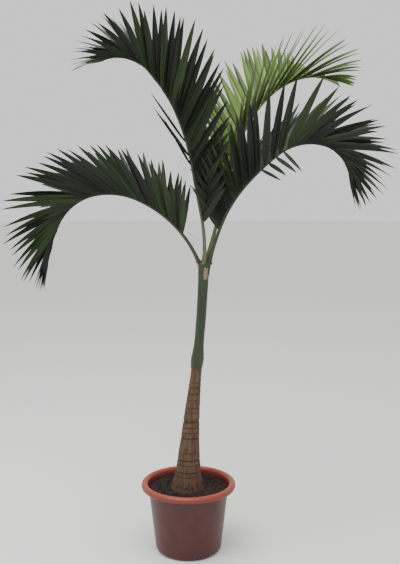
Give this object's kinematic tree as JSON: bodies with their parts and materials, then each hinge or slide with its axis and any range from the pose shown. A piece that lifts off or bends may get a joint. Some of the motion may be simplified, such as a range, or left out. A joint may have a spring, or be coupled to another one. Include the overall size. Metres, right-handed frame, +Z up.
{
  "type": "potted manila palm",
  "caption": "Young manila palm with a ringed, flared trunk, a green crownshaft and arching feather fronds, in a round rolled-rim plastic pot.",
  "frame": {"origin": "middle of the pot's flat underside, on the surface that the pot stands on", "axes": "+Z up along the plant; +X to the right as the picture sees it; -Y towards the viewer"},
  "size_m": [1.3861, 0.9331, 1.9417],
  "materials": {
    "pot_plastic": "satin",
    "mix": "matte",
    "bark": "matte",
    "shaft_skin": "satin",
    "leaf_dark": "satin",
    "leaf_bright": "satin"
  },
  "bodies": {
    "root": {"pot": "pot_plastic", "potting_mix": "mix", "trunk": "bark", "crownshaft": "shaft_skin", "frond_tall_inner": "leaf_dark", "frond_tall_arch": "leaf_dark", "frond_tall_tip": "leaf_dark", "frond_right_inner": "leaf_dark", "frond_right_arch": "leaf_dark", "frond_right_tip": "leaf_dark", "frond_left_inner": "leaf_dark", "frond_left_arch": "leaf_dark", "frond_left_tip": "leaf_dark", "frond_back_inner": "leaf_bright", "frond_back_tip": "leaf_bright"}
  },
  "joints": []
}
